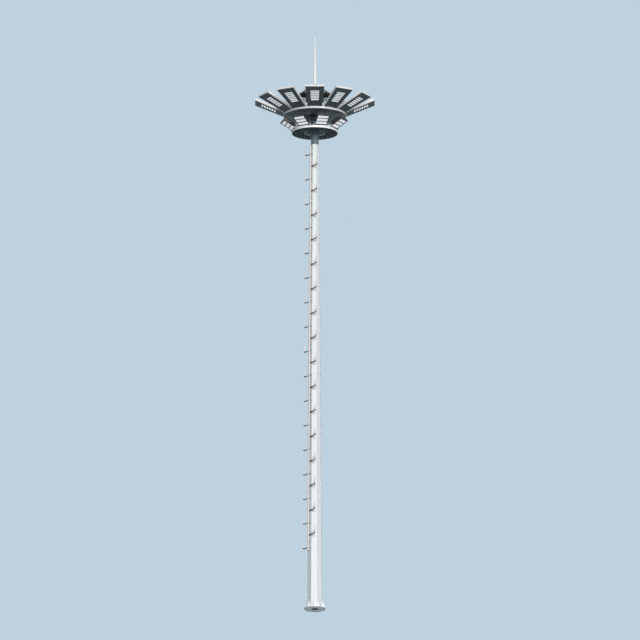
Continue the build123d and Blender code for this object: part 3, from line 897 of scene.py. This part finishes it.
panels, frames, panel_screws = bmesh.new(), bmesh.new(), bmesh.new()
panel_edge = panel_outline(0.006, panel_margin)
corners = [Vector(corner) for corner in panel_outline(0.030, panel_margin + 0.012)]
for number, azimuth in enumerate(petal_azimuths, start=1):
    dress(f"petal_{number}", petal_paint, edge=0.003, segments=3)
    place = place_at(azimuth, ring_rim, ring_top, petal_slope)
    open_plate(panels, panel_edge, window_outline(0.019), -0.001, 0.0015, place)
    open_plate(frames, window_outline(0.022), window_outline(0.0035), -0.012, 0.0035, place)
    for k, parts in ((1, 5), (2, 4), (3, 5)):
        for part in range(parts):
            x, y = corners[k].lerp(corners[(k + 1) % 4], part / parts)
            pan_screw(panel_screws, place @ Matrix.Translation((x, y, 0.0015)), radius=0.0045)
put("petal_bottom_panels", panels, panel_paint_with_painted_shade, "tower")
put("petal_panel_screws", panel_screws, stainless, "tower")
put("petal_window_frames", frames, frame_black, "tower")


# ---- Petal lamps -------------------------------------------------------------------------------
# A black carrier plate in each petal's window with six white light modules side by side. Each
# module is a moulded lens plate with two rows of domes over the diodes.
module_count, module_gap = 6, 0.026
carrier_depth, module_depth = -0.014, -0.008
domes_in_row = 8

carrier_black = painted(
    "carrier_plate", (0.045, 0.048, 0.052), cloudiness=0.15, dust=0.1, roughness=0.5,
)
lens_white = painted(
    "lens_white", (0.60, 0.63, 0.66), cloudiness=0.03, dust=0.0, roughness=0.22,
    Emission_Color=(0.93, 0.96, 1.0, 1), Emission_Strength=0.26, Coat_Weight=0.5,
)
dome_clear = painted(
    "lens_domes", (0.74, 0.78, 0.82), cloudiness=0.0, dust=0.0, roughness=0.08,
    Emission_Color=(1.0, 0.99, 0.96, 1), Emission_Strength=0.54, Coat_Weight=1.0,
)


def lens_dome(shape, place, radius):
    """Adds a low dome over one diode on the XY plane of its place."""
    dome = ((1, -0.1), (0.93, 0.22), (0.68, 0.42), (0.3, 0.54), (0, 0.56))
    turned(shape, dome, place, sides=12, scale=radius)


carriers, modules, domes = bmesh.new(), bmesh.new(), bmesh.new()
pitch = (lamp_outer - lamp_inner) / module_count
for azimuth in petal_azimuths:
    place = place_at(azimuth, ring_rim, ring_top, petal_slope)
    prism(carriers, window_outline(0.0155), -0.026, carrier_depth, place)
    for row in range(module_count):
        start = lamp_inner + row * pitch + module_gap / 2
        end = start + pitch - module_gap
        near, far = (
            lamp_inner_half + (lamp_outer_half - lamp_inner_half) * (along - lamp_inner)
            / (lamp_outer - lamp_inner)
            for along in (start, end)
        )
        prism(modules, [(-near, start), (near, start), (far, end), (-far, end)],
              carrier_depth - 0.001, module_depth, place, chamfer=0.002)
        for line in (0.3, 0.7):
            y = start + (end - start) * line
            for k in range(domes_in_row):
                x = (k - (domes_in_row - 1) / 2) * near * 0.235
                lens_dome(domes, place @ Matrix.Translation((x, y, module_depth)), radius=0.0105)
lamps = put("petal_lamp_carriers", carriers, carrier_black, "tower")
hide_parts("petal_lamps")
put("petal_light_modules", modules, lens_white, "tower")
put("petal_lens_domes", domes, dome_clear, "tower", corner=60)


# ---- Petal arms --------------------------------------------------------------------------------
# Galvanised gallows brackets that stand on the ring behind each petal and reach over its back.
# Blue-zinc bolts on small plates hold their feet on the ring.
arm_half_spacing = 0.1325
post_outer = 0.8797
bolt_across = 0.042

galvanised = finish_material(
    "galvanised_steel",
    metal_group,
    {"Colour": (0.62, 0.64, 0.66), "Dark Colour": (0.47, 0.49, 0.51), "Crystal Scale": 55.0,
     "Stains": 0.25, "Roughness": 0.42},
    bump=0.1, Metallic=0.45,
)
dress("petal_arms", galvanised, edge=0.003, segments=3)

arm_fixings = bmesh.new()
foot_outline = rounded_rectangle(0.062, 0.028, 0.006, 3)
for azimuth in petal_azimuths:
    for side in (-1, 1):
        turn = Matrix.Rotation(math.radians(azimuth), 4, "Z")
        foot = turn @ Matrix.Translation((side * arm_half_spacing, -(post_outer - 0.025), ring_top))
        for x in (-bolt_across, bolt_across):
            hex_bolt(arm_fixings, foot @ Matrix.Translation((x, 0, 0.005)), radius=0.009)
        prism(arm_fixings, foot_outline, 0.0, 0.005, foot, chamfer=0.001)
put("petal_arm_feet", arm_fixings, zinc, "tower")


# ---- Floodlights -------------------------------------------------------------------------------
# Cast housings with cooling fins, in black powder coat. A lens frame is screwed to the
# front, and three light modules, each of two lens bars, sit on the plate behind it.
floodlight_azimuths = (-74.5, -29.5, 15.5, 60.5)
face_length, face_width = 0.407, 0.362
face_radius, face_height, face_slope = 0.689, 15.563, 27.5
housing_rim = 0.022
bar_half_length, bar_offset = 0.0235, 0.0255
domes_in_bar, dome_step = 9, 0.037
pivot_up, pivot_back, pin_end = 0.040, 0.045, 0.0146

housing_paint = painted(
    "floodlight_black_paint", (0.022, 0.023, 0.025), cloudiness=0.15, dust=0.35, roughness=0.48,
    bump=0.35,
)
carrier_grey = painted(
    "floodlight_carrier", (0.06, 0.063, 0.066), cloudiness=0.15, roughness=0.45,
)
lens_bright = painted(
    "floodlight_lens_white", (0.72, 0.75, 0.78), cloudiness=0.03, dust=0.0, roughness=0.22,
    Emission_Color=(0.93, 0.96, 1.0, 1), Emission_Strength=0.33, Coat_Weight=0.5,
)
half_width, half_length = face_width / 2, face_length / 2
rim_half_width, rim_half_length = half_width + housing_rim, half_length + housing_rim
plate_outline = rounded_rectangle(half_width - 0.0005, half_length - 0.0005, 0.004, 2)
bar_outline = rounded_rectangle(half_width - 0.010, bar_half_length, 0.005, 3)
frame_outside = rounded_rectangle(rim_half_width - 0.003, rim_half_length - 0.003, 0.010, 4)
frame_inside = rounded_rectangle(half_width - 0.003, half_length - 0.003, 0.006, 4)
for number, azimuth in enumerate(floodlight_azimuths, start=1):
    body = f"floodlight_{number}"
    dress(f"floodlight_housing_{number}", housing_paint, edge=0.002)
    place = place_at(azimuth, face_radius, face_height, face_slope)
    middle = place @ Matrix.Translation((0, half_length, 0))

    plate = bmesh.new()
    prism(plate, plate_outline, -0.014, -0.007, middle)
    carrier = put(body + "_carrier", plate, carrier_grey, body)
    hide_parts(f"floodlight_lens_{number}")

    bars, domes = bmesh.new(), bmesh.new()
    for module in (-1, 0, 1):
        for row in (-bar_offset, bar_offset):
            bar = middle @ Matrix.Translation((0, module * face_length / 3 + row, 0))
            prism(bars, bar_outline, -0.008, -0.001, bar, chamfer=0.002)
            for k in range(domes_in_bar):
                x = (k - (domes_in_bar - 1) / 2) * dome_step
                lens_dome(domes, bar @ Matrix.Translation((x, 0, -0.001)), radius=0.0120)
    put(body + "_lens_bars", bars, lens_bright, body)
    put(body + "_lens_domes", domes, dome_clear, body, corner=60)

    rim = bmesh.new()
    open_plate(rim, frame_outside, frame_inside, -0.001, 0.003, middle)
    put(body + "_lens_frame", rim, frame_black, body)
    fixings = bmesh.new()
    for x in (-1, 1):
        for y in (-0.97, 0, 0.97):
            spot = Matrix.Translation((x * (half_width + 0.0105), y * (half_length + 0.009), 0.003))
            pan_screw(fixings, middle @ spot, radius=0.0042)
    put(body + "_frame_screws", fixings, stainless, body)
    pins = bmesh.new()
    for side in (-1, 1):
        end = Matrix.Translation((side * (rim_half_width + pin_end), pivot_up, -pivot_back))
        sideways = Matrix.Rotation(math.radians(90 * side), 4, "Y")
        hex_bolt(pins, place @ end @ sideways, radius=0.0135)
    put(body + "_pivot_bolts", pins, zinc, body)


# ---- Floodlight ears ---------------------------------------------------------------------------
# Galvanised angle brackets, one each side of a floodlight, bolted down to the lower ring near
# its rim. The floodlight's pivot pins turn in their eyes.
ear_foot_top = 15.538
ear_bolt_across, ear_bolt_half_step = 0.2305, 0.020
ear_foot_reach = 0.676

dress("floodlight_ears", galvanised, edge=0.0012)
ear_bolts = bmesh.new()
for azimuth in floodlight_azimuths:
    turn = Matrix.Rotation(math.radians(azimuth), 4, "Z")
    for side in (-1, 1):
        for along in (-ear_bolt_half_step, ear_bolt_half_step):
            spot = (side * ear_bolt_across, -(ear_foot_reach + along), ear_foot_top)
            hex_bolt(ear_bolts, turn @ Matrix.Translation(spot), radius=0.0085)
put("ear_bolts", ear_bolts, zinc, "tower")


# ---- Hood --------------------------------------------------------------------------------------
# A cone of flat panels folded from sheet, in dark slate paint, on a collar round the head tube.
# The dark paint is painted shade, the shade inside the cone. Pale standing seams join the panels
# in pairs and end short of the top; their pale paint is a painted highlight along the cone.
hood_edge, hood_rise, hood_corner_radius = 16.661, 0.436, 0.5951
seam_count, seam_height, seam_share = 12, 0.016, 0.86

# The hood's near-black paint is painted shade, the shade inside the cone.
hood_paint = painted(
    "hood_paint", (0.030, 0.036, 0.037), painted_shade_under=(0.027, 0.032, 0.034), cloudiness=0.08, streaks=0.05,
    dust=0.1, roughness=0.5, Specular_IOR_Level=0.15,
)
# The seams' pale paint is a painted highlight along the cone.
seam_painted_highlight = painted("hood_seam_paint", (0.74, 0.76, 0.76), dust=0.1)
dress("hood", hood_paint)
hood_seams = bmesh.new()
slope = math.atan2(hood_rise, hood_corner_radius)
length = math.hypot(hood_rise, hood_corner_radius) * seam_share
seam_outline = [(0.0, -0.010), (length, -0.005), (length, 0.005), (0.0, 0.010)]
for number in range(seam_count):
    turn = Matrix.Rotation(math.radians(360 * number / seam_count), 4, "Z")
    edge = turn @ Matrix.Translation((hood_corner_radius - 0.001, 0, hood_edge))
    lay = edge @ Matrix.Rotation(slope, 4, "Y") @ Matrix.Rotation(math.pi, 4, "Z")
    prism(hood_seams, seam_outline, -0.001, seam_height, lay, chamfer=0.003)
put("hood_seams", hood_seams, seam_painted_highlight, "tower")


# ---- Spire -------------------------------------------------------------------------------------
# A tapered steel tube in white paint, welded to a square plate that is bolted down on the head
# tube's top.
foot_top = 16.917
foot_bolt_offset = 0.058

spire_paint = painted(
    "spire_white_paint", (0.88, 0.88, 0.865), cloudiness=0.02, dust=0.05, roughness=0.5,
)
dress("spire", spire_paint)
foot_bolts, spire_weld = bmesh.new(), bmesh.new()
for x in (-foot_bolt_offset, foot_bolt_offset):
    for y in (-foot_bolt_offset, foot_bolt_offset):
        hex_bolt(foot_bolts, Matrix.Translation((x, y, foot_top)), radius=0.0085)
put("spire_foot_bolts", foot_bolts, stainless, "tower")
bead = ((0.052, 0.010), (0.0545, 0.0085), (0.0585, 0.004), (0.061, 0.0))
turned(spire_weld, bead, Matrix.Translation((0, 0, foot_top)), sides=40)
put("spire_foot_weld", spire_weld, spire_paint, "tower")
